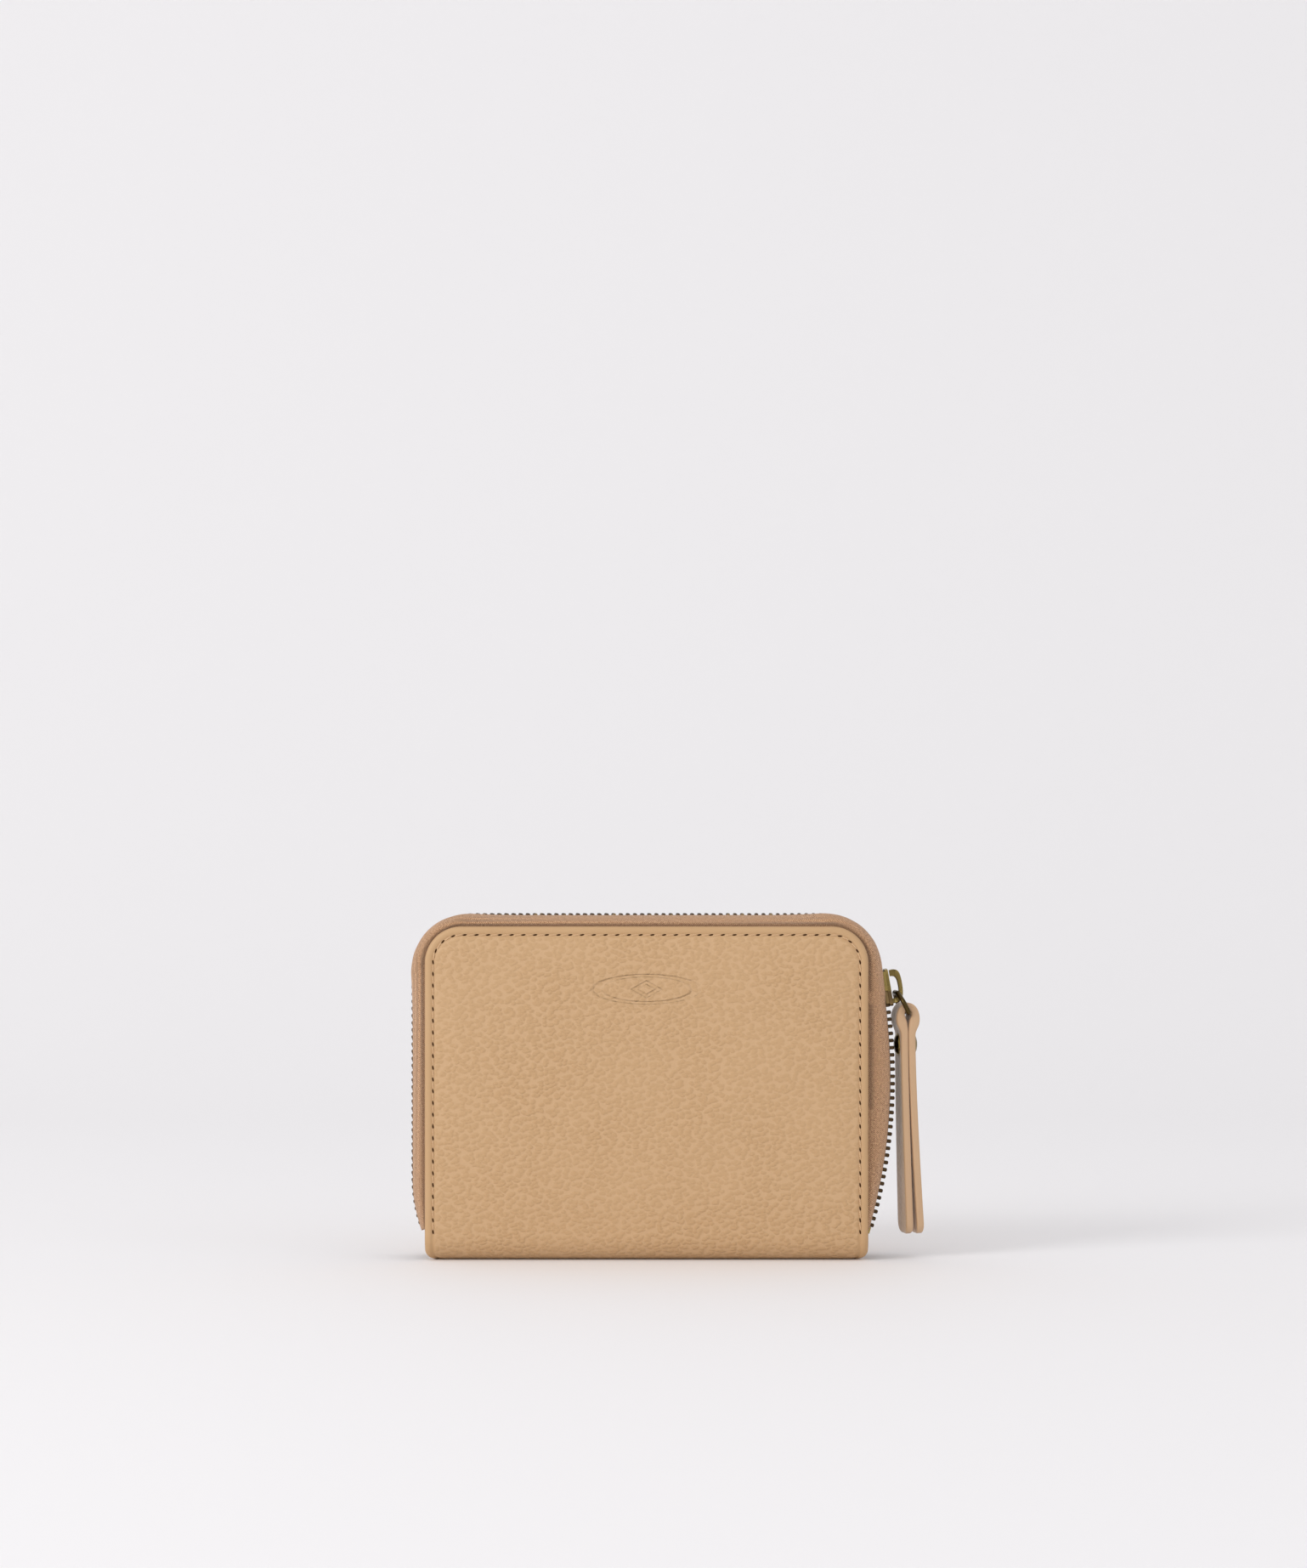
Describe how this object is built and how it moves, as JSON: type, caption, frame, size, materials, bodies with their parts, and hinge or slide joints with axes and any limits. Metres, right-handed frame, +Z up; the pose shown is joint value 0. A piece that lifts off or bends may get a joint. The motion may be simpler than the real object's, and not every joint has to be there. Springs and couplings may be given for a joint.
{
  "type": "zippered pouch",
  "caption": "Grained leather zip-around pouch standing on its spine, with hinged covers, a metal zip along three sides, a folded leather pull, card slots and a coin pocket inside.",
  "frame": {"origin": "centre of the spine's flat underside, on which the pouch stands", "axes": "+X along the spine towards the zip slider's side, -Y out of the front cover, +Z up away from the spine"},
  "size_m": [0.1396, 0.022, 0.0949],
  "materials": {
    "outer_leather": "grained calfskin, tan, satin",
    "strap_leather": "grained calfskin with painted cut edges",
    "inner_leather": "smooth split leather",
    "lining": "woven cotton twill",
    "zip_tape": "herringbone woven polyester",
    "coin_tape": "woven polyester",
    "coin_coil": "dyed nylon filament",
    "thread": "waxed sewing thread",
    "board": "bonded leather board",
    "foam": "needled wadding",
    "antique_brass": "aged, dark brass"
  },
  "bodies": {
    "spine": {"spine_leather": "outer_leather", "spine_board": "board", "spine_lining": "lining"},
    "front_cover": {"front_leather": "outer_leather", "front_padding": "foam", "front_board": "board", "front_lining": "lining", "front_stitching": "thread", "front_zip_tape": "zip_tape", "front_zip_teeth": "antique_brass", "front_top_stop": "antique_brass", "card_slot_1": "inner_leather", "card_slot_2": "inner_leather", "card_slot_3": "inner_leather", "card_slot_4": "inner_leather"},
    "back_cover": {"back_leather": "outer_leather", "back_padding": "foam", "back_board": "board", "back_lining": "lining", "back_stitching": "thread", "back_zip_tape": "zip_tape", "back_zip_teeth": "antique_brass", "back_top_stop": "antique_brass", "bottom_stop": "antique_brass", "coin_pocket_walls": "inner_leather", "coin_pocket_leaf": "inner_leather", "coin_pocket_facing": "inner_leather", "coin_zip_tape_upper": "coin_tape", "coin_zip_tape_lower": "coin_tape", "coin_zip_coil_upper": "coin_coil", "coin_zip_coil_lower": "coin_coil"},
    "zip_slider": {"slider_body": "antique_brass"},
    "pull_link": {"pull_link": "antique_brass"},
    "pull_strap": {"strap_leather": "strap_leather", "rivet_cap": "antique_brass", "rivet_back": "antique_brass"},
    "coin_slider": {"coin_slider_body": "antique_brass"},
    "coin_pull": {"coin_pull": "antique_brass"}
  },
  "joints": [
    {"name": "front_fold", "type": "hinge", "parent": "spine", "child": "front_cover", "pos_m": [0, -0.0095, 0.0015], "axis": [1, 0, 0], "range_deg": [0, 90]},
    {"name": "back_fold", "type": "hinge", "parent": "spine", "child": "back_cover", "pos_m": [0, 0.0095, 0.0015], "axis": [-1, 0, 0], "range_deg": [0, 90]},
    {"name": "slider_run", "type": "hinge", "parent": "back_cover", "child": "zip_slider", "pos_m": [-0.0802, 0, 0.05], "axis": [0, 1, 0], "range_deg": [-0.4, 20]},
    {"name": "link_swing", "type": "hinge", "parent": "zip_slider", "child": "pull_link", "pos_m": [0.06884, 0, 0.07305], "axis": [0.1219, -0.9925, 0], "range_deg": [0, 90]},
    {"name": "strap_swing", "type": "hinge", "parent": "pull_link", "child": "pull_strap", "pos_m": [0.07145, 0.00032, 0.06766], "axis": [0.1219, -0.9925, 0], "range_deg": [0, 90]},
    {"name": "coin_slider_run", "type": "slide", "parent": "back_cover", "child": "coin_slider", "axis": [1, 0, 0], "range_m": [0, 0.08]},
    {"name": "coin_pull_swing", "type": "hinge", "parent": "coin_slider", "child": "coin_pull", "pos_m": [-0.0415, 0.00185, 0.076], "axis": [0, 0, -1], "range_deg": [0, 30]}
  ]
}
